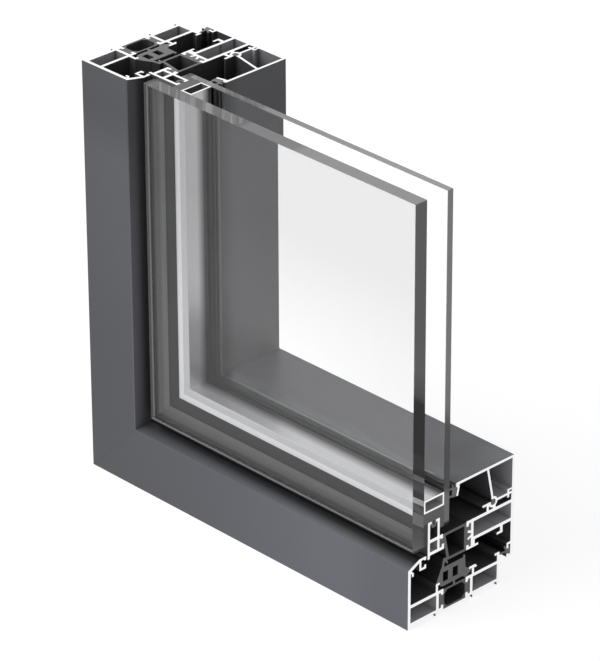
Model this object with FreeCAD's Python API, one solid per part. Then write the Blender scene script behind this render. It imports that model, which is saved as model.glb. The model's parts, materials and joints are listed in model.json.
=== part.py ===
import FreeCAD, Part
import os
from math import cos, hypot, radians, sin

# Corner sample of a thermally broken aluminium window: a fixed frame, a concealed
# sash and stepped double glazing, cut open at both ends.
# Each piece is drawn with X along the sill from its outer corner, Y from the
# exterior face to the room and Z up from the bottom of the frame. Both legs share
# one cross-section, drawn in depth d (along Y) and height h (from the outer edge
# towards the glass). The finished pieces are moved so that the origin is the
# centre of the footprint, at the bottom of the frame.

# Lengths of the two legs
sill_length = 270.0
jamb_height = 270.0

# Walls of the aluminium extrusions and the small round on their corners
wall = 2.0
hook_wall = 1.5
corner_radius = 0.3

# Frame depths
frame_depth = 75.0
outer_chamber_depth = 25.0
inner_chamber_depth = 24.2

# Frame heights
foot_height = 2.4
floor_wall = 1.8
rebate_height = 16.2
frame_leg_rise = 5.6
frame_leg_hook = 2.0
foot_setback = 2.4

# Rib and T-lug that hold the centre gasket
rib_setback = 2.4
rib_wall = 1.7
rib_height = 5.4
rib_hook_reach = 1.4
lug_setback = 1.4
lug_height = 5.6
lug_width = 6.5
lug_droop = 0.8

# Sloped lip of the face plate, with its empty gasket groove and corner hook
lip_rise = 4.2
lip_play = 1.2
lip_depth = 5.4
groove_width = 4.9
groove_tip_rise = 1.2
lip_tip_drop = 0.8
corner_hook_reach = 4.4
corner_hook_slope = 1.3
corner_hook_drop = 3.6

# Clamp grooves that hold the thermal breaks
clamp_reach = 3.8
clamp_tip_width = 1.9
clamp_tip_drop = 1.6
barb_reach = 2.7
barb_root = 0.9
barb_tip = 2.6

# Frame thermal break
break_recess = 0.4
break_wall = 1.3
break_hollow_inset = 4.4
break_hollow_chamfer = 2.5

# Sash heights, stacked up from the rebate of the frame
sash_clearance = 17.8
sash_floor_lift = 4.7
sash_chamber_height = 14.3
sash_wall_rise = 3.4
sash_overhang = 0.8

# Sash depths
sash_projection = 11.0
sash_inner_depth = 35.1
sash_bar_reach = 6.1
sash_wall_thickening = 1.2

# Sash exterior profile, measured from the sash chamber's top
sash_outer_depth = 9.5
sash_outer_wall = 1.7
sash_channel_height = 11.8
sash_channel_lip = 3.0
sash_low_web_drop = 8.2
sash_outer_toe = 2.2
middle_clamp_reach = 2.8
middle_tip_drop = 0.8

# Hardware hook and stop groove on the room side of the sash
hardware_hook_setback = 8.8
hardware_hook_reach = 4.9
hardware_hook_drop = 4.7
stop_groove_depth = 5.1
stop_groove_height = 9.6
stop_groove_mouth = 3.5
stop_groove_lip = 0.7

# Sash thermal break
sash_break_lean = 2.6
sash_break_shoulder = 0.4
sash_break_wall = 1.7
sash_break_front_wall = 1.9
sash_break_back_wall = 5.6

# Glazing
pane_setback = 3.4
outer_pane_thickness = 8.8
cavity = 16.2
inner_pane_thickness = 4.2
pane_lift = 5.0
pane_step = 8.7
pane_edge_radius = 1.2
pane_gap = 5.5
seal_height = 7.0
spacer_height = 8.5
spacer_wall = 1.1
bond_width = 3.4
bond_setback = 1.3

# Glazing bead
bead_height = 29.0
bead_plate = 1.6
bead_nose_depth = 2.7
bead_nose_height = 3.4
bead_nose_face = 2.4
bead_leg_drop = 8.6
bead_leg_knee = 4.4
bead_leg_kick = 1.2
diagonal_lean = 4.4
diagonal_setback = 4.9

# Ring foot of the bead and the cradle that it clips into, with the angles in
# degrees where the cradle starts, gives way to the ring, and where the ring ends
cradle_start_angle = 180
ring_split_angle = 310
ring_end_angle = 480
ring_setback = 17.1
ring_lift = 4.4
ring_outer = 3.5
ring_inner = 2.0
cradle_stem = 1.8
cradle_bar_reach = 5.2
cradle_foot_width = 2.2
flange_rise = 1.1
bead_stub_setback = 5.3
bead_stub_drop = 2.2
bead_stub_rise = 3.4
bead_stub_cap = 1.1

# Centre gasket
gasket_height = 14.2
gasket_bed = 1.8
gasket_lean = 4.2
gasket_shoulder = 2.4
gasket_back_play = 0.2
gasket_cheek = 1.0
gasket_ridge_rise = 1.5
gasket_ridge_setback = 0.6
gasket_ridge_width = 1.4
gasket_heel_width = 2.4
gasket_heel_rise = 1.6
gasket_keel_setback = 1.3
gasket_keel_width = 1.7
gasket_chamber_lift = 4.7
gasket_chamber_height = 6.3
gasket_chamber_share = 0.174
gasket_front_share = 0.232
gasket_middle_share = 0.153
lip_wall = 1.8
lip_tip_rise = 2.2
lip_lean = 1.6
nib_length = 4.3

# Smaller gaskets
fin = 1.3
stop_fin_rise = 4.2
stop_fin_lean = 1.9
stop_lip_rise = 0.6
channel_gasket_depth = 4.4
bead_gasket_width = 5.6
bead_gasket_body = 3.4
bead_gasket_height = 8.4
bead_gasket_heel = 1.2
bead_gasket_heel_top = 3.2
bead_gasket_heel_height = 3.0
bead_gasket_fin_top = 1.6
bead_gasket_fin_foot = 0.6
bead_gasket_groove = 1.1

# Corner cleats
cleat_leg = 58.0
cleat_play = 0.25
cleat_wall = 3.0

# Stations in depth
inner_chamber_front = frame_depth - inner_chamber_depth
sash_depth = frame_depth + sash_projection
sash_inner_front = sash_depth - sash_inner_depth
room_wall = sash_depth - wall
pane_back = pane_setback + outer_pane_thickness
inner_pane_front = pane_back + cavity
inner_pane_back = inner_pane_front + inner_pane_thickness
sash_outer_front = pane_back + bond_width
sash_outer_back = sash_outer_front + sash_outer_depth
sash_break_toe = sash_outer_back + clamp_reach + sash_break_lean
bead_front = inner_pane_back + bead_gasket_width
ring_depth = sash_depth - ring_setback
rib_front = outer_chamber_depth - rib_setback
rib_hook_back = rib_front + rib_wall + rib_hook_reach
lug_front = inner_chamber_front + lug_setback
stop_mouth = sash_depth - stop_groove_depth

# Stations in height
floor_top = foot_height + floor_wall
break_top = rebate_height - break_recess
rib_top = rebate_height + rib_height
lug_top = rebate_height + lug_height
frame_leg_top = rebate_height + frame_leg_rise
sash_foot = rebate_height + sash_clearance
sash_floor = sash_foot + sash_floor_lift
sash_top = sash_floor + sash_chamber_height
sash_wall_top = sash_top + sash_wall_rise
sash_leg_foot = rebate_height - sash_overhang
sash_low_web = sash_top - sash_low_web_drop
sash_outer_top = sash_top + sash_channel_height
inner_pane_edge = sash_top + pane_lift
outer_pane_edge = inner_pane_edge - pane_step
lip_top = outer_pane_edge - pane_gap
face_height = lip_top - lip_rise
spacer_foot = sash_outer_top + seal_height
spacer_top = spacer_foot + spacer_height
bead_top = sash_top + bead_height
ring_height = sash_top + ring_lift


def outline(points):
    """Face of the cross-section bounded by straight edges, always facing along +X."""
    following = points[1:] + points[:1]
    turn = sum(d0 * h1 - d1 * h0 for (d0, h0), (d1, h1) in zip(points, following))
    ordered = points if turn > 0 else points[::-1]
    corners = [FreeCAD.Vector(0, d, h) for d, h in ordered]
    return Part.Face(Part.makePolygon(corners + corners[:1]))


def rect(d0, d1, h0, h1):
    """Rectangle of the cross-section between two depths and two heights."""
    return outline([(d0, h0), (d1, h0), (d1, h1), (d0, h1)])


def strip(start, end, thickness):
    """Straight wall of the cross-section, centred on the line between two points."""
    run = hypot(end[0] - start[0], end[1] - start[1])
    across = thickness / 2 / run
    side = ((start[1] - end[1]) * across, (end[0] - start[0]) * across)
    return outline([
        (start[0] + side[0], start[1] + side[1]),
        (end[0] + side[0], end[1] + side[1]),
        (end[0] - side[0], end[1] - side[1]),
        (start[0] - side[0], start[1] - side[1]),
    ])


def disc(d, h, radius):
    """Round face of the cross-section."""
    edge = Part.Circle(FreeCAD.Vector(0, d, h), FreeCAD.Vector(1, 0, 0), radius)
    return Part.Face(Part.Wire(edge.toShape()))


def arc_wall(d, h, inner, outer, start, end):
    """Curved wall of the cross-section, from one angle to another in degrees."""
    def at(radius, angle):
        turn = radians(angle)
        return FreeCAD.Vector(0, d + radius * cos(turn), h + radius * sin(turn))

    middle = (start + end) / 2
    outside = Part.Arc(at(outer, start), at(outer, middle), at(outer, end)).toShape()
    inside = Part.Arc(at(inner, end), at(inner, middle), at(inner, start)).toShape()
    tip = Part.makeLine(at(outer, end), at(inner, end))
    root = Part.makeLine(at(inner, start), at(outer, start))
    return Part.Face(Part.Wire([outside, tip, inside, root]))


def joined(faces):
    """One cross-section out of the walls that make it."""
    return faces[0].fuse(faces[1:]).removeSplitter().Faces[0]


def softened(face):
    """Cross-section with its outside and inside corners rounded, each in two short flats."""
    narrow = face.makeOffset2D(-corner_radius)
    broad = narrow.makeOffset2D(2 * corner_radius)
    loops = []
    for wire in broad.makeOffset2D(-corner_radius).Wires:
        edges = []
        for edge in wire.OrderedEdges:
            if isinstance(edge.Curve, Part.Circle) and edge.Curve.Radius < 2 * corner_radius:
                stations = edge.discretize(3)
                if edge.Orientation == "Reversed":
                    stations.reverse()
                edges += [Part.makeLine(a, b) for a, b in zip(stations, stations[1:])]
            else:
                edges.append(edge)
        loops.append(Part.Wire(edges))
    return Part.makeFace(loops, "Part::FaceMakerBullseye").Faces[0]


def fitted(face, *neighbours):
    """Cross-section cut back to the neighbours that it seats against."""
    for neighbour in neighbours:
        face = face.cut(neighbour)
    return face.removeSplitter().Faces[0]


def clamp_tips(end, inward):
    """The two turned tips of a frame clamp groove that ends at a given depth."""
    near = min(end, end + inward * clamp_tip_width)
    far = max(end, end + inward * clamp_tip_width)
    return [
        rect(near, far, rebate_height - wall - clamp_tip_drop, rebate_height),
        rect(near, far, foot_height, floor_top + clamp_tip_drop),
    ]


def sloped_lip():
    """Slope from the face plate to the lip, the gasket groove behind it and the corner hook."""
    end = sash_outer_front - lip_play
    start = end - lip_depth
    groove_foot = lip_top - groove_width - 2 * hook_wall
    hook_top = face_height - hook_wall
    hook_knee = hook_top - corner_hook_slope
    hook_foot = hook_top - corner_hook_drop
    hook_inside = corner_hook_reach - hook_wall
    slope = outline([
        (0, face_height),
        (start, lip_top),
        (start + hook_wall, lip_top),
        (start + hook_wall, lip_top - hook_wall),
        (wall, hook_top),
        (0, hook_top),
    ])
    hook = outline([
        (0, hook_top),
        (hook_inside, hook_top),
        (corner_hook_reach, hook_knee),
        (corner_hook_reach, hook_foot),
        (hook_inside, hook_foot),
        (hook_inside, hook_knee),
        (0, hook_knee),
    ])
    return [
        slope,
        hook,
        rect(start, end, lip_top - hook_wall, lip_top),
        rect(end - hook_wall, end, lip_top - hook_wall - lip_tip_drop, lip_top),
        rect(start, start + hook_wall, groove_foot, lip_top),
        rect(start, end, groove_foot, groove_foot + hook_wall),
        rect(end - hook_wall, end, groove_foot, groove_foot + hook_wall + groove_tip_rise),
    ]


def frame_exterior():
    """Face plate and lip, drained chamber, gasket rib, clamp groove and feet."""
    back = outer_chamber_depth
    foot_front = back - foot_setback
    return softened(joined([
        rect(0, wall, 0, face_height),
        rect(0, back + clamp_reach, rebate_height - wall, rebate_height),
        rect(0, back + clamp_reach, foot_height, floor_top),
        rect(back - wall, back, foot_height, rebate_height),
        rect(foot_front, foot_front + hook_wall, 0, floor_top),
        rect(rib_front, rib_front + rib_wall, rebate_height - wall, rib_top),
        rect(rib_front, rib_hook_back, rib_top - hook_wall, rib_top),
    ] + sloped_lip() + clamp_tips(back + clamp_reach, -1)))


def frame_interior():
    """Chamber, T-lug for the centre gasket, hooked leg to the room, clamp groove and feet."""
    front = inner_chamber_front
    bar_front = lug_front + rib_wall / 2 - lug_width / 2
    bar_back = bar_front + lug_width
    bar_foot = lug_top - hook_wall
    lug_bar = outline([
        (bar_front, bar_foot),
        (bar_front, lug_top),
        (bar_back - hook_wall, lug_top),
        (bar_back, bar_foot),
        (bar_back - hook_wall / 2, bar_foot - lug_droop),
        (bar_back - 2 * hook_wall, bar_foot),
    ])
    return softened(joined([
        rect(front - clamp_reach, frame_depth, rebate_height - wall, rebate_height),
        rect(front - clamp_reach, frame_depth, foot_height, floor_top),
        rect(front, front + wall, foot_height, rebate_height),
        rect(front + wall, front + wall + hook_wall, 0, floor_top),
        rect(frame_depth - wall, frame_depth, 0, frame_leg_top),
        rect(frame_depth - wall - frame_leg_hook, frame_depth, frame_leg_top - hook_wall, frame_leg_top),
        rect(lug_front, lug_front + rib_wall, rebate_height - wall, lug_top),
        lug_bar,
    ] + clamp_tips(front - clamp_reach, 1)))


def frame_break():
    """Hollow polyamide bar between the two frame profiles."""
    front = outer_chamber_depth
    back = inner_chamber_front
    d0 = front + break_hollow_inset
    d1 = back - break_hollow_inset
    h0 = foot_height + break_wall
    h1 = break_top - break_wall
    c = break_hollow_chamfer
    hollow = outline([
        (d0 + c, h0), (d1 - c, h0), (d1, h0 + c), (d1, h1 - c),
        (d1 - c, h1), (d0 + c, h1), (d0, h1 - c), (d0, h0 + c),
    ])
    body = rect(front, back, foot_height, break_top)
    return fitted(body, hollow, frame_exterior(), frame_interior())


def sash_exterior():
    """Two upright walls with a channel at the top and a small chamber at the foot."""
    front = sash_outer_front
    back = sash_outer_back
    low_foot = sash_low_web - wall
    middle_end = back + middle_clamp_reach
    low_end = back + clamp_reach
    return softened(joined([
        rect(front, front + sash_outer_wall, low_foot - sash_outer_toe, sash_outer_top),
        rect(back - sash_outer_wall, back, low_foot, sash_outer_top),
        rect(front, front + sash_channel_lip, sash_outer_top - hook_wall, sash_outer_top),
        rect(back - sash_channel_lip, back, sash_outer_top - hook_wall, sash_outer_top),
        rect(front, middle_end, sash_top - wall, sash_top),
        rect(middle_end - clamp_tip_width, middle_end, sash_top - wall - middle_tip_drop, sash_top),
        rect(front, low_end, low_foot, sash_low_web),
        rect(low_end - clamp_tip_width, low_end, low_foot, sash_low_web + clamp_tip_drop),
    ]))


def cradle():
    """Lug on the sash chamber: a stem, a bar to the front and an arc that holds the bead's ring."""
    stem_back = ring_depth - ring_outer
    bar_top = ring_height + hook_wall / 2
    arc_foot = ring_height - ring_outer
    return [
        rect(stem_back - cradle_stem, stem_back, sash_top - wall, bar_top),
        rect(stem_back - cradle_bar_reach, stem_back + hook_wall, bar_top - hook_wall, bar_top),
        arc_wall(ring_depth, ring_height, ring_inner, ring_outer, cradle_start_angle, ring_split_angle),
        rect(ring_depth, ring_depth + cradle_foot_width, sash_top - wall, arc_foot + hook_wall),
    ]


def stop_groove():
    """Groove at the foot of the room-side wall that holds the stop gasket."""
    top = sash_leg_foot + stop_groove_height
    lower_lip = sash_leg_foot + hook_wall + stop_groove_lip
    return [
        rect(stop_mouth, sash_depth, sash_leg_foot, sash_leg_foot + hook_wall),
        rect(stop_mouth, stop_mouth + hook_wall, sash_leg_foot, lower_lip),
        rect(stop_mouth, sash_depth, top - hook_wall, top),
        rect(stop_mouth, stop_mouth + hook_wall, lower_lip + stop_groove_mouth, top),
    ]


def sash_interior():
    """Box chamber, barbed clamp groove, hardware hook, room-side wall, stop groove and cradle."""
    front = sash_inner_front
    bar_front = front - clamp_reach
    barb_end = front - barb_reach
    middle = (sash_top + sash_foot) / 2
    barbs = [
        strip((front + wall / 2, middle + side * barb_root), (barb_end, middle + side * barb_tip), hook_wall)
        for side in (-1, 1)
    ]
    hook_back = room_wall - hardware_hook_setback + wall
    hook_foot = sash_floor - hardware_hook_drop
    return softened(joined([
        rect(bar_front, sash_depth, sash_top - wall, sash_top),
        rect(bar_front, bar_front + clamp_tip_width, sash_top - wall - clamp_tip_drop, sash_top),
        rect(front, front + wall, sash_foot, sash_top),
        rect(front, front + wall + sash_wall_thickening, sash_foot, sash_floor + wall),
        rect(front, sash_depth, sash_floor, sash_floor + wall),
        rect(room_wall, sash_depth, sash_leg_foot, sash_wall_top),
        rect(bar_front, front + sash_bar_reach, sash_foot, sash_foot + hook_wall),
        rect(bar_front, bar_front + clamp_tip_width, sash_foot, sash_foot + hook_wall + clamp_tip_drop),
        rect(hook_back - wall, hook_back, hook_foot, sash_floor + wall),
        rect(hook_back - hardware_hook_reach, hook_back, hook_foot, hook_foot + hook_wall),
    ] + barbs + cradle() + stop_groove()))


def sash_break():
    """Hollow polyamide bar with a leaning front wall, between the two sash profiles."""
    top = sash_top - break_recess
    shoulder = sash_outer_back + clamp_reach + sash_break_shoulder
    body = outline([
        (sash_outer_back, top),
        (sash_outer_back, sash_low_web),
        (shoulder, sash_low_web),
        (sash_break_toe, sash_foot),
        (sash_inner_front, sash_foot),
        (sash_inner_front, top),
    ])
    hollow_foot = sash_foot + sash_break_wall
    hollow_top = top - sash_break_wall
    hollow_back = sash_inner_front - sash_break_back_wall
    lean = (shoulder - sash_break_toe) / (sash_low_web - sash_foot)
    hollow_toe = sash_break_toe + sash_break_front_wall + lean * sash_break_wall
    hollow = outline([
        (hollow_toe + lean * (hollow_top - hollow_foot), hollow_top),
        (hollow_toe, hollow_foot),
        (hollow_back, hollow_foot),
        (hollow_back, hollow_top),
    ])
    return fitted(body, hollow, sash_exterior(), sash_interior())


def gasket_body():
    """Outline of the centre gasket from the frame's rib to its T-lug, with the keel between."""
    top = rebate_height + gasket_height
    bed = rebate_height + gasket_bed
    block_back = inner_chamber_front - clamp_reach - gasket_back_play
    keel = (outer_chamber_depth + inner_chamber_front) / 2 - gasket_keel_setback
    ridge_back = block_back - gasket_ridge_setback
    return outline([
        (rib_front, rib_top),
        (rib_front + gasket_lean, top),
        (ridge_back - gasket_ridge_width, top),
        (ridge_back - gasket_ridge_width, top + gasket_ridge_rise),
        (ridge_back, top + gasket_ridge_rise),
        (block_back, rib_top + gasket_heel_rise),
        (block_back + gasket_heel_width, lug_top),
        (lug_front, lug_top),
        (lug_front, lug_top - hook_wall - gasket_cheek),
        (block_back, rebate_height),
        (block_back - gasket_heel_width, bed),
        (keel + gasket_keel_width, bed),
        (keel + gasket_keel_width, break_top),
        (keel, break_top),
        (keel, bed),
        (rib_hook_back + gasket_shoulder, bed),
        (rib_hook_back, rib_top - hook_wall - gasket_cheek),
        (rib_hook_back, rib_top),
    ])


def gasket_lip():
    """Leaning lip of the centre gasket, which reaches over to the foot of the sash break."""
    top = rebate_height + gasket_height
    tip = sash_foot + lip_tip_rise
    foot = (rib_front + gasket_lean + lip_wall / 2, top - lip_wall)
    head = (foot[0] + lip_lean, tip)
    touch = sash_break_toe + sash_break_shoulder
    return [
        strip(foot, head, lip_wall),
        strip((head[0] - fin / 2, tip - fin / 2), (touch, tip - fin / 2), fin),
        strip((sash_break_toe - fin, tip - fin), (touch, tip - nib_length), fin),
    ]


def centre_gasket():
    """Two-chamber seal on the frame with a sharp lip against the sash break."""
    seal = joined([gasket_body()] + gasket_lip())
    foot = rebate_height + gasket_chamber_lift
    body_width = inner_chamber_front - clamp_reach - rib_front
    chamber_width = gasket_chamber_share * body_width
    first = rib_front + gasket_front_share * body_width
    second = first + chamber_width + gasket_middle_share * body_width
    chambers = [
        rect(front, front + chamber_width, foot, foot + gasket_chamber_height)
        for front in (first, second)
    ]
    soft = softened(fitted(seal, *chambers))
    return fitted(soft, frame_exterior(), frame_interior(), frame_break(), sash_break())


def stop_gasket():
    """Seal in the sash's lower groove with one lip on the frame's leg and one fin above it."""
    low = sash_leg_foot + hook_wall
    neck_foot = low + stop_groove_lip
    middle = neck_foot + stop_groove_mouth / 2
    fin_foot = (stop_mouth, middle + stop_groove_lip)
    seal = joined([
        rect(stop_mouth + hook_wall, room_wall, low, neck_foot + stop_groove_mouth + stop_groove_lip),
        rect(stop_mouth - fin / 2, stop_mouth + hook_wall, neck_foot, neck_foot + stop_groove_mouth),
        strip((stop_mouth, middle), (frame_depth, middle + stop_lip_rise), fin),
        strip(fin_foot, (stop_mouth - stop_fin_lean, middle + stop_fin_rise), fin),
    ])
    return fitted(softened(seal), sash_interior(), frame_interior())


def channel_gasket():
    """Small U-shaped seal in the channel at the top of the sash's exterior profile."""
    front = sash_outer_front + sash_channel_lip
    back = sash_outer_back - sash_channel_lip
    foot = sash_outer_top - channel_gasket_depth
    lip_foot = sash_outer_top - hook_wall
    channel_front = sash_outer_front + sash_outer_wall
    channel_back = sash_outer_back - sash_outer_wall
    ears = rect(channel_front, channel_back, lip_foot - fin, lip_foot)
    notch = rect(front + fin, back - fin, foot + fin, sash_outer_top)
    seal = joined([rect(front, back, foot, sash_outer_top), ears])
    return fitted(seal, notch, sash_exterior())


def bead_nose():
    """Front end of the bead's plate: a bulb and a bent leg that hold the glazing gasket."""
    front = bead_front
    knee = (front + bead_nose_depth - hook_wall / 2, bead_top - bead_leg_knee)
    toe = (knee[0] - bead_leg_kick, bead_top - bead_leg_drop)
    return [
        outline([
            (front, bead_top),
            (front, bead_top - bead_nose_face),
            (front + bead_nose_depth - hook_wall, bead_top - bead_nose_height),
            (front + bead_nose_depth, bead_top - bead_nose_height),
            (front + bead_nose_depth, bead_top),
        ]),
        strip((knee[0], bead_top - bead_plate), knee, hook_wall),
        strip((knee[0], knee[1] + hook_wall / 2), toe, hook_wall),
    ]


def bead():
    """Clip-on glazing bead: plate, nose, diagonal, ring foot and flange to the room-side wall."""
    back = sash_depth
    flange_top = ring_height + flange_rise
    stub = back - bead_stub_setback
    cap_top = ring_height + bead_stub_rise
    diagonal_top = (ring_depth - diagonal_setback, bead_top - bead_plate / 2)
    diagonal_foot = (diagonal_top[0] + diagonal_lean, ring_height + (ring_inner + ring_outer) / 2)
    return softened(joined([
        rect(bead_front, back, bead_top - bead_plate, bead_top),
        rect(back - hook_wall, back, sash_wall_top, bead_top),
        strip(diagonal_top, diagonal_foot, hook_wall),
        arc_wall(ring_depth, ring_height, ring_inner, ring_outer, ring_split_angle, ring_end_angle),
        rect(ring_depth + (ring_inner + ring_outer) / 2, back, flange_top - hook_wall, flange_top),
        rect(stub, stub + hook_wall, ring_height - bead_stub_drop, cap_top),
        rect(stub, back, cap_top - bead_stub_cap, cap_top),
    ] + bead_nose()))


def bead_clip():
    """Cord that fills the bead's ring foot."""
    return fitted(disc(ring_depth, ring_height, ring_inner), bead(), sash_interior())


def bead_gasket():
    """Seal between the bead and the inner pane: a body with two fins and a heel."""
    body_front = bead_front - bead_gasket_body
    foot = bead_top - bead_gasket_height
    heel_top = bead_top - bead_gasket_heel_top
    low_fin = foot + bead_gasket_fin_foot
    high_fin = bead_top - bead_gasket_fin_top
    middle = (body_front + bead_front) / 2
    groove = rect(middle - bead_gasket_groove / 2, middle + bead_gasket_groove / 2,
                  bead_top - 2 * bead_gasket_groove, bead_top)
    seal = joined([
        rect(body_front, bead_front, foot, bead_top),
        rect(bead_front, bead_front + bead_gasket_heel, heel_top - bead_gasket_heel_height, heel_top),
        rect(inner_pane_back, body_front, low_fin, low_fin + fin),
        rect(inner_pane_back, body_front, high_fin - fin, high_fin),
    ])
    return fitted(softened(fitted(seal, groove)), bead())


def spacer():
    """Hollow bar between the panes."""
    hollow = rect(pane_back + spacer_wall, inner_pane_front - spacer_wall,
                  spacer_foot + spacer_wall, spacer_top - spacer_wall)
    return softened(fitted(rect(pane_back, inner_pane_front, spacer_foot, spacer_top), hollow))


def edge_seal():
    """Sealant outside the spacer, down beside the sash profile to the inner pane's edge."""
    above = rect(pane_back, inner_pane_front, sash_outer_top, spacer_foot)
    beside = rect(sash_outer_back, inner_pane_front, inner_pane_edge, sash_outer_top)
    return fitted(joined([above, beside]), spacer(), sash_exterior(), channel_gasket())


def bond_strip():
    """Bonding strip between the outer pane and the sash's exterior profile."""
    strip_foot = outer_pane_edge + bond_setback
    return fitted(rect(pane_back, sash_outer_front, strip_foot, sash_outer_top), sash_exterior())


def mitred(section, length):
    """Leg of the sample along X, mitred at the corner and cut square at the far end."""
    prism = section.extrude(FreeCAD.Vector(length, 0, 0))
    corners = [
        FreeCAD.Vector(0, -sash_depth, 0),
        FreeCAD.Vector(length, -sash_depth, 0),
        FreeCAD.Vector(length, -sash_depth, length),
        FreeCAD.Vector(0, -sash_depth, 0),
    ]
    wedge = Part.Face(Part.makePolygon(corners)).extrude(FreeCAD.Vector(0, 3 * sash_depth, 0))
    return prism.common(wedge)


def sill_leg(section):
    """The leg that lies along the sill."""
    return mitred(section, sill_length)


def jamb_leg(section):
    """The same leg mirrored in the mitre plane, so that it runs up the jamb."""
    return mitred(section, jamb_height).mirror(FreeCAD.Vector(0, 0, 0), FreeCAD.Vector(1, 0, -1))


def pane(front, thickness, edge):
    """Glass sheet from its stepped edge to the two cut ends, with its own edges rounded."""
    corner = FreeCAD.Vector(edge, front, edge)
    sheet = Part.makeBox(sill_length - edge, thickness, jamb_height - edge, corner)
    rounded = []
    for rim in sheet.Edges:
        box = rim.BoundBox
        on_foot = box.ZMax < edge + pane_edge_radius and box.XLength > thickness
        on_side = box.XMax < edge + pane_edge_radius and box.ZLength > thickness
        if on_foot or on_side:
            rounded.append(rim)
    return sheet.makeFillet(pane_edge_radius, rounded)


def cleat(d0, d1, h0, h1):
    """Corner cleat sawn from an L-shaped hollow bar, inside the chamber with these faces."""
    front = d0 + cleat_play
    low = h0 + cleat_play
    high = h1 - cleat_play
    tip = low + cleat_leg

    def plate(corners):
        points = [FreeCAD.Vector(x, front, z) for x, z in corners]
        return Part.Face(Part.makePolygon(points + points[:1]))

    bar = plate([(low, low), (tip, low), (tip, high), (high, high), (high, tip), (low, tip)])
    hollow_low = low + cleat_wall
    hollow_high = high - cleat_wall
    middle = (high + tip) / 2
    for start, end in ((high, middle - cleat_wall / 2), (middle + cleat_wall / 2, tip - cleat_wall)):
        along_sill = [(start, hollow_low), (end, hollow_low), (end, hollow_high), (start, hollow_high)]
        along_jamb = [(z, x) for x, z in along_sill]
        bar = bar.cut(plate(along_sill)).cut(plate(along_jamb))
    return bar.extrude(FreeCAD.Vector(0, d1 - d0 - 2 * cleat_play, 0))


def write(node, shape):
    """One STEP file, moved so that the origin is the centre of the footprint."""
    solid = shape.Solids[0]
    solid.translate(FreeCAD.Vector(-sill_length / 2, -sash_depth / 2, 0))
    solid.exportStep("parts/" + node + ".step")


os.makedirs("parts", exist_ok=True)

sections = {
    "frame_exterior": frame_exterior(),
    "frame_interior": frame_interior(),
    "frame_break": frame_break(),
    "centre_gasket": centre_gasket(),
    "sash_exterior": sash_exterior(),
    "sash_interior": sash_interior(),
    "sash_break": sash_break(),
    "stop_gasket": stop_gasket(),
    "channel_gasket": channel_gasket(),
    "bead": bead(),
    "bead_clip": bead_clip(),
    "bead_gasket": bead_gasket(),
    "spacer": spacer(),
    "edge_seal": edge_seal(),
    "bond_strip": bond_strip(),
}
for name, section in sections.items():
    write("sill_" + name, sill_leg(section))
    write("jamb_" + name, jamb_leg(section))

write("outer_pane", pane(pane_setback, outer_pane_thickness, outer_pane_edge))
write("inner_pane", pane(inner_pane_front, inner_pane_thickness, inner_pane_edge))

frame_low = floor_top
frame_high = rebate_height - wall
write("frame_exterior_cleat", cleat(wall, outer_chamber_depth - wall, frame_low, frame_high))
write("frame_interior_cleat", cleat(inner_chamber_front + wall, frame_depth - wall, frame_low, frame_high))
write("sash_interior_cleat", cleat(sash_inner_front + wall, room_wall, sash_floor + wall, sash_top - wall))
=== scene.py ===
import json
from functools import cached_property
from math import radians

import bpy
from mathutils import Matrix, Vector


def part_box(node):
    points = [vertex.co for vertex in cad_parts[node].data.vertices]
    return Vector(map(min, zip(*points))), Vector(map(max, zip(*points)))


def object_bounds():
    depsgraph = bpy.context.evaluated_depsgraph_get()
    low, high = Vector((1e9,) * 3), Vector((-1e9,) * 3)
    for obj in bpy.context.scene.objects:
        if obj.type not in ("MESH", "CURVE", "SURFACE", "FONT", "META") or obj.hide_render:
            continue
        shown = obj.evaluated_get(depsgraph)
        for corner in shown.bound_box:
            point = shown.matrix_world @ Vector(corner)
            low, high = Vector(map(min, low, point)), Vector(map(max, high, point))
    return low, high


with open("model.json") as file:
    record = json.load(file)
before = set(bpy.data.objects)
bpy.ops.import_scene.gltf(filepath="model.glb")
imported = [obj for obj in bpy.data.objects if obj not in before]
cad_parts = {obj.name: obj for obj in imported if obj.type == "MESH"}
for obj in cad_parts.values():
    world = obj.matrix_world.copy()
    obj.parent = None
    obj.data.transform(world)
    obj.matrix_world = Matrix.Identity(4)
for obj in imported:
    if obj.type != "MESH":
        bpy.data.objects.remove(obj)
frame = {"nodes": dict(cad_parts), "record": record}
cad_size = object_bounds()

# Corner sample of an aluminium window on a pale floor. All lengths are in metres.
# The sill runs along X, the jamb along Z, and Y goes from the exterior to the room.
# Both legs share one section: depths count from the exterior face, heights from the
# outer edge. Places before a sawn end are negative. A ramp is a pair, its start and
# its end. A list of pairs holds places with their factors. A pair of tones is the
# lowest and the highest factor of a noise. Colours are linear red, green and blue.

corner, far_corner = Vector(cad_size[0]), Vector(cad_size[1])
white = (1.0, 1.0, 1.0)

# Camera at the photograph's viewing angle, with its roll in degrees and its lens in mm
camera_place = Vector((1.6720, -1.6025, 1.3520))
camera_aim = Vector((0.0025, 0.0, 0.1281))
camera_roll = -0.257
camera_lens = 245.0
camera_sensor = 36.0

# Floor, surroundings and lamp. The floor's glow and the full white of the surroundings
# show to the camera, in reflections and through glass. sky_level lights the object.
floor_half = 12.0
floor_colour = (0.86, 0.86, 0.86)
floor_roughness = 0.9
floor_glow = 0.75
floor_level = 1.15
sky_level = 0.42
lamp_place = Vector((-1.2, -2.3, 2.4))
lamp_aim = Vector((0.0, 0.0, 0.1))
lamp_size = 3.0
lamp_power = 110.0
light_bounces = 24

# Powder coat, with its fine spots and the relief of its surface
coat_colour = (0.075, 0.077, 0.092)
coat_spot = 0.0006
coat_tones = (0.975, 1.025)
coat_roughness = 0.42
coat_grain = 0.00045
coat_relief = 0.000005

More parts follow.
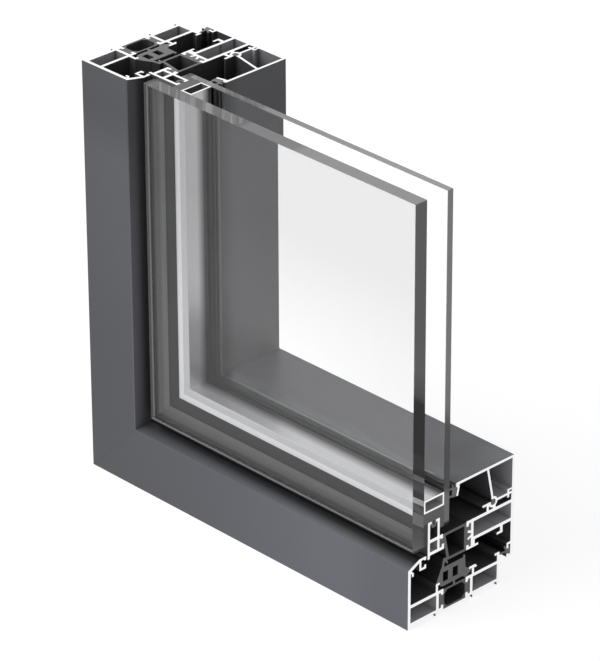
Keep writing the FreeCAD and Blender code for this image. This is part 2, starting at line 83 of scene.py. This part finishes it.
# Painted light and shade on the coat: from the sample's left side, along the sill to its
# sawn end, up the jamb, and up the slope of the jamb's lip
across_light = ((0.0, 0.60), (0.100, 0.83), (0.190, 1.13), (0.270, 1.15))
sill_light = ((-0.260, 0.96), (-0.100, 1.02), (-0.055, 1.10), (-0.045, 1.08), (-0.028, 0.95))
jamb_light = (
    (0.010, 0.94), (0.060, 0.91), (0.100, 0.93), (0.140, 1.04),
    (0.214, 1.12), (0.232, 0.90), (0.247, 0.74), (0.264, 0.81),
)
jamb_slope_light = ((0.120, 1.38), (0.165, 1.12), (0.180, 1.08), (0.200, 0.80), (0.240, 0.60))

# Slope of the exterior lip, darkened by a painted shadow behind its front edge
slope_foot = 0.0385
slope_rise = 0.46
slope_end = 0.0150
slope_shadow = (0.0010, 0.0062)
sill_slope_shadow_colour = (0.009, 0.009, 0.010)
jamb_slope_shadow_colour = (0.019, 0.019, 0.022)

# Painted shade on the faces inside the section, between the floor of the rebate and the top of the
# bead
recess = ((0.0019, 0.0842), (0.0161, 0.0806))
sill_recess_shade_colour = (0.075, 0.075, 0.080)
jamb_recess_shade_colour = (0.042, 0.042, 0.045)

# Chambers as depths and heights, and their walls on the room side, darkened by painted shade
frame_chamber_heights = (0.0041, 0.0143)
outer_chamber = ((0.0019, 0.0231), frame_chamber_heights)
inner_chamber = ((0.0527, 0.0731), frame_chamber_heights)
sash_chamber = ((0.0528, 0.0841), (0.0406, 0.0511))
small_chamber = ((0.0172, 0.0235), (0.0447, 0.0511))
bead_chamber = ((0.0700, 0.0846), (0.0585, 0.0805))
bead_lean = 0.22
# Bare metal inside the chambers; the jamb's copy is darker as painted shade
sill_chamber_colour = (0.50, 0.50, 0.525)
jamb_chamber_shaded_colour = (0.34, 0.34, 0.36)
far_walls = ((0.0214, 0.0235), (0.0714, 0.0735), (0.0824, 0.0850))
far_wall_shade = 0.5
sill_far_wall_shade_share = 0.25

# Top of the bead, with a painted highlight on its nose beside the glass and a painted shade behind
# it
bead_low, bead_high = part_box("sill_bead")
bead_front = bead_low[1] - corner.y
bead_skin = 0.0005
bead_top = (bead_high[2] - bead_skin, bead_high[2] + bead_skin)
nose_width = 0.0013
nose_end = (-0.014, -0.018)
nose_highlight = (4.8, 4.8, 4.0)
nose_shade = (0.0098, 0.0006)
nose_shade_tone = 0.5

# Top of the sill's bead near its sawn end, made lighter and less blue by painted light
end_start = (-0.055, -0.035)
end_near = (-0.025, -0.007)
end_near_light = 1.55
end_back = (0.0600, 0.0800)
end_back_light = 1.5
end_neutral = (-0.045, -0.030)
end_light_tint = (1.0, 1.0, 0.9)

# Sawn ends with their marks, and the hairline at the mitre
sawn_skin = 0.00005
bare_metal = (0.985, 0.985, 0.988)
sawn_roughness = 0.5
saw_mark = 0.0004
saw_stretch = (1.0, 0.06, 1.0)
saw_tones = (0.96, 1.01)
joint_half = 0.00014
joint_colour = (0.012, 0.012, 0.013)

# Plastic and rubber profiles: their skin, where they are sawn, and their mottled grain
rubber_skin = (0.014, 0.014, 0.015)
extruded_looks = {
    "polyamide": {
        "skin": (0.028, 0.028, 0.029),
        "cut": (0.135, 0.135, 0.137),
        "roughness": 0.6,
        "grain": 0.0005,
    },
    "seal_rubber": {
        "skin": rubber_skin,
        "cut": (0.155, 0.155, 0.155),
        "roughness": 0.55,
        "grain": 0.0008,
    },
    "clip_cord": {
        "skin": rubber_skin,
        "cut": (0.13, 0.13, 0.132),
        "roughness": 0.6,
        "grain": 0.0008,
    },
}
mottle_tones = (0.88, 1.12)
mottle_relief = 0.00003

# Sealant outside the spacer
sealant_skin = (0.044, 0.044, 0.046)
sealant_cut = (0.115, 0.115, 0.117)
sealant_roughness = 0.6
sealant_grain = 0.001

# Bond strip, with painted shade and light by height and its fine stripes
tape_colour = (0.140, 0.142, 0.140)
tape_roughness = 0.7
tape_top = 0.0622
sill_tape_shading = ((0.0532, 0.42), (0.0552, 0.90), (0.0600, 1.12), (0.0622, 1.28))
jamb_tape_shading = (
    (0.0508, 0.72), (0.0518, 0.80), (0.0532, 1.50),
    (0.0545, 1.45), (0.0560, 1.12), (0.0575, 1.28),
)
tape_stripe = 0.0014
tape_stripe_tones = (0.72, 1.22)

# Spacer, with its hollow and the foil that reaches down from it over the sealant
spacer_low, spacer_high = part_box("sill_spacer")
spacer_front = spacer_low[1] - corner.y
spacer_back = spacer_high[1] - corner.y
spacer_foot, spacer_top = spacer_low[2], spacer_high[2]
spacer_skin = 0.0003
spacer_wall = 0.0010
spacer_hollow = (
    (spacer_front + spacer_wall, spacer_back - spacer_wall),
    (spacer_foot + spacer_wall, spacer_top - spacer_wall),
)
spacer_colour = (0.62, 0.62, 0.635)
# Painted highlight on the spacer's face near its foot, and painted shadow towards the room
spacer_highlight_rise = 0.0034
spacer_highlight_tone = 1.38
sill_spacer_shadow_fade = (0.0185, 0.0262)
jamb_spacer_shadow_fade = (0.0205, 0.0262)
spacer_rear_shadow = (0.008, 0.008, 0.009)
# Hollow inside the spacer, in painted shade on the jamb, darker towards its mouth at the sawn end
sill_hollow_colour = (0.50, 0.50, 0.51)
jamb_hollow_shaded_colour = (0.28, 0.28, 0.285)
jamb_mouth = (0.2560, 0.2695)
jamb_mouth_shade = 0.35
spacer_shine = 0.5
spacer_roughness = 0.3
spacer_spot = 0.002
spacer_tones = (0.95, 1.05)
foil_colour = (0.80, 0.80, 0.82)
foil_width = 0.0007

# Corner cleats, and the grain of rolled and drawn metal
cleat_colour = (0.55, 0.55, 0.56)
cleat_roughness = 0.4
cleat_spot = 0.001
cleat_tones = (0.85, 1.1)
cleat_relief = 0.00003
spacer_relief = 0.00002
metal_grain = 0.0008

# Panes: glass with painted shade at its top, and ground edges in slanting bands of painted light
# and shade
pane_wetting = 0.00004
glass_tint = (0.990, 0.990, 0.993)
glass_ior = 1.5
glass_top_shade = (0.130, 0.215)
glass_cloud = 0.05
glass_tones = (0.995, 1.0)
edge_band = 0.0003
edge_frost = 0.48
level_slant = 0.75
patch_end = 0.1280
patch_size = 0.007
patch_slant = 1.04
patch_step = (0.52, 0.58)
# Painted highlight along the arris of each pane's foot, with painted shadow below it
sill_rim = (0.0014, 0.0026)
jamb_rim = (0.0029, 0.0043)
rim_highlight_colour = (0.28, 0.282, 0.284)
jamb_rim_highlight_tone = 0.8
sill_rim_shadow = (0.02, 0.02, 0.02)
jamb_rim_shadow = (0.08, 0.08, 0.08)

# What differs between the panes: the level of the reflection; the factor of painted shade on
# the glass at its top; painted light and shade going up the sawn end, with lines of painted
# highlight, each with a start, an end and a factor; and painted light and shade along the top
# edge from its left, with a factor on its patches of painted light.
pane_looks = {
    "outer_pane": {
        "glint": 0.2,
        "edge_colour": (0.29, 0.292, 0.294),
        "shade_fade": 0.82,
        "end_shading": (
            (0.0535, 0.90), (0.0685, 0.28), (0.1050, 0.03),
            (0.1485, 0.03), (0.1525, 0.55), (0.1680, 1.0),
        ),
        "end_highlights": ((0.0695, 0.0775, 1.25), (0.0835, 0.0872, 2.4), (0.0985, 0.1020, 0.66)),
        "top_shading": ((0.1280, 0.74), (0.1330, 1.26), (0.1720, 1.30), (0.1780, 1.86)),
        "patch_light": 1.75,
    },
    "inner_pane": {
        "glint": 0.0,
        "edge_colour": (0.56, 0.562, 0.564),
        "shade_fade": 1.0,
        "end_shading": (
            (0.0780, 0.80), (0.0840, 0.35), (0.1240, 0.40), (0.1350, 0.88), (0.1650, 1.07),
        ),
        "end_highlights": (),
        "top_shading": (
            (0.0800, 0.75), (0.0950, 0.42), (0.1190, 0.42), (0.1240, 0.88), (0.2200, 1.16),
        ),
        "patch_light": 1.3,
    },
}


class Nodes:
    """Short calls for building the node tree of one material or world."""

    def __init__(self, owner):
        owner.use_nodes = True
        self.owner = owner
        self.tree = owner.node_tree
        self.output = self.tree.get_output_node("ALL")
        self.shader = self.output.inputs["Surface"].links[0].from_node

    def add(self, kind, **settings):
        """A new node with its settings."""
        node = self.tree.nodes.new("ShaderNode" + kind)
        for key, value in settings.items():
            setattr(node, key, value)
        return node

    def feed(self, socket, value):
        """Links a socket to another, or gives it a number, or a colour as three numbers."""
        if isinstance(value, bpy.types.NodeSocket):
            self.tree.links.new(value, socket)
        elif socket.type == "RGBA":
            socket.default_value = (*value, 1.0)
        else:
            socket.default_value = value

    def set(self, **values):
        """Sets the shader's own sockets."""
        for key, value in values.items():
            self.feed(self.shader.inputs[key.replace("_", " ")], value)

    def math(self, operation, *values):
        """Result of a math node."""
        node = self.add("Math", operation=operation)
        for socket, value in zip(node.inputs, values):
            self.feed(socket, value)
        return node.outputs[0]

    def ramp(self, value, start, end, low=0.0, high=1.0):
        """The low number before the start, the high one after the end and even between them."""
        node = self.add("MapRange")
        for socket, number in zip(node.inputs, (value, start, end, low, high)):
            self.feed(socket, number)
        return node.outputs[0]

    def spread(self, value, low, high):
        """A value from 0 to 1 spread between two numbers."""
        return self.ramp(value, 0.0, 1.0, low, high)

    def curve(self, value, *stops):
        """Number that runs evenly from stop to stop, each a place and a number."""
        result = stops[0][1]
        for (start, low), (end, high) in zip(stops, stops[1:]):
            result = self.math("MULTIPLY_ADD", self.ramp(value, start, end), high - low, result)
        return result

    def over(self, value, limit):
        """1 where a value is over a limit, else 0."""
        return self.math("GREATER_THAN", value, limit)

    def under(self, value, limit):
        """1 where a value is under a limit, else 0."""
        return self.math("LESS_THAN", value, limit)

    def span(self, value, low, high):
        """1 where a value lies between two limits, else 0."""
        return self.math("COMPARE", value, (low + high) / 2, (high - low) / 2)

    def both(self, *masks):
        """1 where all the masks are 1."""
        result = masks[0]
        for mask in masks[1:]:
            result = self.math("MULTIPLY", result, mask)
        return result

    def either(self, *masks):
        """1 where any of the masks is 1."""
        result = masks[0]
        for mask in masks[1:]:
            result = self.math("MAXIMUM", result, mask)
        return result

    def without(self, mask):
        """1 where the mask is 0, and 0 where it is 1."""
        return self.math("SUBTRACT", 1.0, mask)

    def area(self, depths, heights):
        """1 inside a rectangle of the section, else 0."""
        return self.both(self.span(self.depth, *depths), self.span(self.height, *heights))

    def paint(self, mask, ground, cover):
        """The ground where the mask is 0 and the cover where it is 1, as numbers or colours."""
        if isinstance(ground, float):
            return self.spread(mask, ground, cover)
        node = self.add("Mix", data_type="RGBA")
        self.feed(node.inputs["Factor"], mask)
        self.feed(node.inputs["A"], ground)
        self.feed(node.inputs["B"], cover)
        return node.outputs["Result"]

    def by_leg(self, sill, jamb):
        """One colour or number on the sill and another on the jamb."""
        return self.paint(self.on_jamb, sill, jamb)

    def tone(self, colour, factor):
        """A colour multiplied by a number or by another colour."""
        node = self.add("Mix", data_type="RGBA", blend_type="MULTIPLY")
        self.feed(node.inputs["Factor"], 1.0)
        self.feed(node.inputs["A"], colour)
        self.feed(node.inputs["B"], factor)
        return node.outputs["Result"]

    def tint(self, colour, mask, factor):
        """A colour multiplied by a number or by another colour where the mask is 1."""
        unchanged = 1.0 if isinstance(factor, float) else white
        return self.tone(colour, self.paint(mask, unchanged, factor))

    def shade(self, colour, value, low, high):
        """A colour made darker or lighter by a value from 0 to 1."""
        return self.tone(colour, self.spread(value, low, high))

    def noise(self, size, detail=3.0, stretch=(1.0, 1.0, 1.0)):
        """Noise from 0 to 1 with spots of about one size in metres."""
        mapping = self.add("Mapping")
        self.feed(mapping.inputs["Vector"], self.place)
        self.feed(mapping.inputs["Scale"], stretch)
        node = self.add("TexNoise")
        self.feed(node.inputs["Vector"], mapping.outputs[0])
        self.feed(node.inputs["Scale"], 1.0 / size)
        self.feed(node.inputs["Detail"], detail)
        return node.outputs[0]

    def stripes(self, value, size):
        """Noise from 0 to 1 that varies along one value only."""
        node = self.add("TexNoise", noise_dimensions="1D")
        self.feed(node.inputs["W"], value)
        self.feed(node.inputs["Scale"], 1.0 / size)
        return node.outputs[0]

    def relief(self, height, depth):
        """Bump of a depth in metres."""
        node = self.add("Bump")
        self.feed(node.inputs["Distance"], depth)
        self.feed(node.inputs["Height"], height)
        self.feed(self.shader.inputs["Normal"], node.outputs[0])

    def seen(self):
        """1 for rays from the camera, by reflection or through glass, else 0."""
        path = self.add("LightPath")
        kinds = ("Is Camera Ray", "Is Glossy Ray", "Is Transmission Ray")
        return self.either(*(path.outputs[kind] for kind in kinds))

    @cached_property
    def place(self):
        """Point on the object, in the frame that all pieces share."""
        return self.add("TexCoord").outputs["Object"]

    @cached_property
    def point(self):
        """X, Y and Z of the point."""
        node = self.add("SeparateXYZ")
        self.feed(node.inputs[0], self.place)
        return node.outputs

    @cached_property
    def along(self):
        """Distance along the sill from the outer corner."""
        return self.math("SUBTRACT", self.point["X"], corner.x)

    @cached_property
    def up(self):
        """Distance up the jamb from the outer corner."""
        return self.point["Z"]

    @cached_property
    def depth(self):
        """Depth in the section."""
        return self.math("SUBTRACT", self.point["Y"], corner.y)

    @cached_property
    def height(self):
        """Height in the section."""
        return self.math("MINIMUM", self.along, self.up)

    @cached_property
    def on_jamb(self):
        """1 on the jamb's side of the mitre, else 0."""
        return self.under(self.along, self.up)

    @cached_property
    def mitre(self):
        """1 on the hairline where the two legs meet, else 0."""
        across = self.math("SUBTRACT", self.along, self.up)
        return self.math("COMPARE", across, 0.0, joint_half)

    @cached_property
    def to_end(self):
        """Distance to the nearer sawn end, as a negative number."""
        to_sill_end = self.math("SUBTRACT", self.point["X"], far_corner.x)
        to_jamb_end = self.math("SUBTRACT", self.up, far_corner.z)
        return self.math("MAXIMUM", to_sill_end, to_jamb_end)

    @cached_property
    def sawn(self):
        """1 on the two sawn ends of the sample, else 0."""
        return self.over(self.to_end, -sawn_skin)


def new_material(name):
    """Nodes of a new material."""
    return Nodes(bpy.data.materials.new(name))


def lip_slope(n):
    """1 on the slope of the exterior lip, else 0."""
    line = n.math("MULTIPLY_ADD", n.depth, slope_rise, slope_foot)
    return n.both(n.over(n.height, line), n.under(n.depth, slope_end))


def chambers(n):
    """1 inside the chambers of the section, else 0."""
    (front, back), (foot, top) = bead_chamber
    leaning = n.math("MULTIPLY_ADD", n.math("SUBTRACT", n.height, foot), bead_lean, n.depth)
    in_bead = n.both(n.over(leaning, front), n.under(n.depth, back), n.span(n.height, foot, top))
    upright = (outer_chamber, inner_chamber, sash_chamber, small_chamber)
    return n.either(in_bead, *(n.area(*chamber) for chamber in upright))


def chamber_walls(n):
    """Pale metal inside the chambers, with painted shade on the jamb and on their room side, most
    on the jamb's.
    """
    far = n.either(*(n.span(n.depth, *wall) for wall in far_walls))
    share = n.both(far, n.by_leg(sill_far_wall_shade_share, 1.0))
    return n.tint(n.by_leg(sill_chamber_colour, jamb_chamber_shaded_colour), share, far_wall_shade)


def lit_coat(n, on_slope):
    """Powder coat with fine spots, and painted light and shade along both legs."""
    coat = n.tone(coat_colour, n.curve(n.along, *across_light))
    coat = n.tone(coat, n.by_leg(n.curve(n.to_end, *sill_light), n.curve(n.up, *jamb_light)))
    coat = n.tint(coat, n.both(n.on_jamb, on_slope), n.curve(n.up, *jamb_slope_light))
    return n.shade(coat, n.noise(coat_spot), *coat_tones)


def lit_bead(n, coat):
    """The coat with the painted highlight and painted shade on the bead's top, and painted light
    at its end.
    """
    top = n.span(n.height, *bead_top)
    behind = n.math("SUBTRACT", n.depth, bead_front)
    coat = n.tint(coat, n.both(top, n.ramp(behind, *nose_shade)), nose_shade_tone)
    nose = n.both(top, n.under(behind, nose_width), n.ramp(n.to_end, *nose_end))
    coat = n.tint(coat, nose, nose_highlight)

    sill_top = n.span(n.up, *bead_top)
    end = n.both(sill_top, n.ramp(n.to_end, *end_start))
    coat = n.tint(coat, n.both(end, n.ramp(n.to_end, *end_near)), end_near_light)
    coat = n.tint(coat, n.both(end, n.ramp(n.depth, *end_back)), end_back_light)
    return n.tint(coat, n.both(sill_top, n.ramp(n.to_end, *end_neutral)), end_light_tint)


def coated_profile():
    """Dark powder coat with painted light, painted shade in the recesses, pale in the chambers,
    with bright sawn ends.
    """
    n = new_material("coated_profile")
    on_slope = lip_slope(n)
    coat = lit_bead(n, lit_coat(n, on_slope))
    # Painted shade in the recesses, then painted shadow on the lip's slope
    in_recess = n.both(n.area(*recess), n.without(on_slope))
    coat = n.paint(in_recess, coat, n.by_leg(sill_recess_shade_colour, jamb_recess_shade_colour))
    in_shadow = n.both(on_slope, n.ramp(n.depth, *slope_shadow))
    coat = n.paint(in_shadow, coat, n.by_leg(sill_slope_shadow_colour, jamb_slope_shadow_colour))
    coat = n.paint(chambers(n), coat, chamber_walls(n))
    coat = n.paint(n.mitre, coat, joint_colour)

    saw_marks = n.noise(saw_mark, detail=1.0, stretch=saw_stretch)
    metal = n.shade(bare_metal, saw_marks, *saw_tones)
    n.set(Base_Color=n.paint(n.sawn, coat, metal), Metallic=n.sawn)
    n.set(Roughness=n.paint(n.sawn, coat_roughness, sawn_roughness))
    n.relief(n.noise(coat_grain), coat_relief)
    return n.owner


def mottled(n, skin, cut, roughness, grain):
    """Finishes a material with its skin, a paler cut at the sawn ends and a mottled grain."""
    colour = n.shade(n.paint(n.sawn, skin, cut), n.noise(grain), *mottle_tones)
    n.set(Base_Color=colour, Roughness=roughness)
    n.relief(n.noise(grain), mottle_relief)
    return n.owner


def extruded(name):
    """Plastic or rubber profile with its own look."""
    return mottled(new_material(name), **extruded_looks[name])


def sealant():
    """Edge seal, with the bright foot of the spacer's foil along its inner side."""
    n = new_material("sealant")
    on_face = n.under(n.depth, spacer_front + spacer_skin)
    on_foil = n.both(on_face, n.over(n.height, spacer_foot - foil_width))
    skin = n.paint(on_foil, sealant_skin, foil_colour)
    return mottled(n, skin, sealant_cut, sealant_roughness, sealant_grain)


def bond_tape():
    """Bond strip with fine lines along the leg, painted shade and light by height, dark above its
    top line and where it is sawn.
    """
    n = new_material("bond_tape")
    dark = n.either(n.sawn, n.over(n.height, tape_top))
    tone = n.by_leg(n.curve(n.height, *sill_tape_shading), n.curve(n.height, *jamb_tape_shading))
    colour = n.paint(dark, n.tone(tape_colour, tone), sealant_skin)
    n.set(Base_Color=n.shade(colour, n.stripes(n.height, tape_stripe), *tape_stripe_tones))
    n.set(Roughness=tape_roughness)
    return n.owner


def spacer_metal():
    """Bright rolled spacer with a painted highlight and painted shadow towards the room, a hollow
    and a faint grain.
    """
    n = new_material("spacer_metal")
    # Painted highlight near the foot of the face, and painted shadow towards the room
    on_face = n.under(n.depth, spacer_front + spacer_skin)
    on_foot = n.under(n.height, spacer_foot + spacer_highlight_rise)
    skin = n.tint(spacer_colour, n.both(on_face, on_foot), spacer_highlight_tone)
    shade_fade = n.by_leg(n.ramp(n.depth, *sill_spacer_shadow_fade), n.ramp(n.depth, *jamb_spacer_shadow_fade))
    skin = n.paint(shade_fade, skin, spacer_rear_shadow)

    inside = n.area(*spacer_hollow)
    # Painted shade in the jamb's hollow, darker towards its mouth
    jamb_hollow = n.tint(jamb_hollow_shaded_colour, n.ramp(n.up, *jamb_mouth), jamb_mouth_shade)
    skin = n.paint(inside, skin, n.by_leg(sill_hollow_colour, jamb_hollow))
    colour = n.paint(n.sawn, skin, bare_metal)
    shine = n.either(n.sawn, n.math("MULTIPLY", n.without(inside), spacer_shine))
    n.set(Base_Color=n.shade(colour, n.noise(spacer_spot, detail=2.0), *spacer_tones))
    n.set(Metallic=shine, Roughness=spacer_roughness)
    n.relief(n.noise(metal_grain, detail=2.0), spacer_relief)
    return n.owner


def cleat_metal():
    """Bare drawn aluminium of the corner cleats."""
    n = new_material("cleat_metal")
    n.set(Base_Color=n.shade(cleat_colour, n.noise(cleat_spot), *cleat_tones))
    n.set(Metallic=1.0, Roughness=cleat_roughness)
    n.relief(n.noise(metal_grain, detail=2.0), cleat_relief)
    return n.owner


def pane_end(n, front, tones, lines):
    """Painted light and shade on a pane's sawn end, in bands that slant down from its front, with
    painted highlight lines.
    """
    level = n.math("MULTIPLY_ADD", n.math("SUBTRACT", n.depth, front), level_slant, n.up)
    tone = n.curve(level, *tones)
    for low, high, strength in lines:
        tone = n.either(tone, n.math("MULTIPLY", n.span(level, low, high), strength))
    return tone


def pane_top(n, tones, patch_light):
    """Painted light and shade on a pane's top edge, with slanting patches of painted light on its
    left part.
    """
    slant = n.math("MULTIPLY_ADD", n.depth, patch_slant, n.along)
    patch = n.both(n.under(n.along, patch_end), n.ramp(n.stripes(slant, patch_size), *patch_step))
    return n.math("MULTIPLY", n.curve(n.along, *tones), n.spread(patch, 1.0, patch_light))


def arris(n, rise):
    """Painted highlight along a pane's foot arris, with painted shadow at its lowest."""
    lit = n.over(rise, n.by_leg(sill_rim[0], jamb_rim[0]))
    light = n.tint(rim_highlight_colour, n.on_jamb, jamb_rim_highlight_tone)
    return n.paint(lit, n.by_leg(sill_rim_shadow, jamb_rim_shadow), light)


def glass(node, glint, edge_colour, shade_fade, end_shading, end_highlights, top_shading, patch_light):
    """Clear float glass with painted shade at its top, finely ground edges in painted light and
    shade, and a painted highlight along its foot.
    """
    n = new_material(node)
    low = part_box(node)[0]
    # Painted shade darkens the clear glass towards its top
    clear = n.tint(glass_tint, n.ramp(n.up, *glass_top_shade), shade_fade)
    on_edge = n.over(n.to_end, -edge_band)
    on_top = n.over(n.up, far_corner.z - edge_band)
    end = pane_end(n, low[1] - corner.y, end_shading, end_highlights)
    ground = n.tone(edge_colour, n.paint(on_top, end, pane_top(n, top_shading, patch_light)))
    rise = n.math("SUBTRACT", n.height, low[2])
    on_rim = n.under(rise, n.by_leg(sill_rim[1], jamb_rim[1]))
    colour = n.paint(on_rim, n.paint(on_edge, clear, ground), arris(n, rise))
    n.set(Base_Color=n.shade(colour, n.noise(glass_cloud, detail=1.0), *glass_tones))
    n.set(Transmission_Weight=n.paint(n.either(on_edge, on_rim), 1.0, 1.0 - edge_frost))
    n.set(Roughness=0.0, IOR=glass_ior, Specular_Tint=(glint, glint, glint))
    return n.owner


def dress():
    """Gives each CAD node the material of its slot, and each pane its own glass."""
    finishes = {
        "coated_profile": coated_profile(),
        "spacer_metal": spacer_metal(),
        "sealant": sealant(),
        "bond_tape": bond_tape(),
        "cleat_metal": cleat_metal(),
    }
    for name in extruded_looks:
        finishes[name] = extruded(name)
    panes = {name: glass(name, **look) for name, look in pane_looks.items()}
    for part in frame["record"]["subparts"]:
        node = part["node"]
        material = panes[node] if node in panes else finishes[part["material_slot"]]
        for place in frame["nodes"][node].material_slots:
            place.material = material


def wet_panes():
    """Lets each pane reach a hair into the seals, so that they show through it as if wetted."""
    for name in pane_looks:
        contact = frame["nodes"][name].modifiers.new("contact", "DISPLACE")
        contact.mid_level = 0.0
        contact.strength = pane_wetting


def floor():
    """Pale floor that shows white to the camera and in reflections, and keeps the shadow."""
    mesh = bpy.data.meshes.new("floor")
    signs = ((-1, -1), (1, -1), (1, 1), (-1, 1))
    mesh.from_pydata([(x * floor_half, y * floor_half, 0.0) for x, y in signs], [], [(0, 1, 2, 3)])
    plane = bpy.data.objects.new("floor", mesh)
    bpy.context.scene.collection.objects.link(plane)

    n = new_material("floor")
    n.set(Base_Color=floor_colour, Roughness=floor_roughness, Specular_IOR_Level=0.0)
    glow = n.add("Emission")
    n.feed(glow.inputs["Strength"], floor_level)
    blend = n.add("MixShader")
    shares = (n.math("MULTIPLY", n.seen(), floor_glow), n.shader.outputs[0], glow.outputs[0])
    for socket, value in zip(blend.inputs, shares):
        n.feed(socket, value)
    n.feed(n.output.inputs["Surface"], blend.outputs[0])
    mesh.materials.append(n.owner)


def sky():
    """Even white surroundings, at full white for the camera and in reflections."""
    world = bpy.data.worlds.new("surroundings")
    bpy.context.scene.world = world
    n = Nodes(world)
    n.set(Color=white, Strength=n.spread(n.seen(), sky_level, 1.0))


def lamp():
    """Square area lamp that points at the object."""
    light = bpy.data.lights.new("key", "AREA")
    light.shape = "SQUARE"
    light.size = lamp_size
    light.energy = lamp_power
    carrier = bpy.data.objects.new("key", light)
    carrier.location = lamp_place
    carrier.rotation_euler = (lamp_aim - lamp_place).to_track_quat("-Z", "Y").to_euler()
    bpy.context.scene.collection.objects.link(carrier)


def camera():
    """Camera at the photograph's place, with its small roll."""
    data = bpy.data.cameras.new("camera")
    data.sensor_fit = "VERTICAL"
    data.sensor_height = camera_sensor
    data.lens = camera_lens
    data.clip_end = 4 * floor_half
    carrier = bpy.data.objects.new("camera", data)
    turn = (camera_aim - camera_place).to_track_quat("-Z", "Y").to_matrix().to_4x4()
    roll = Matrix.Rotation(radians(camera_roll), 4, "Z")
    carrier.matrix_world = Matrix.Translation(camera_place) @ turn @ roll
    bpy.context.scene.collection.objects.link(carrier)
    bpy.context.scene.camera = carrier


dress()
wet_panes()
floor()
sky()
lamp()
camera()
bpy.context.scene.view_settings.view_transform = "Standard"
bpy.context.scene.cycles.max_bounces = light_bounces
bpy.context.scene.cycles.transmission_bounces = light_bounces
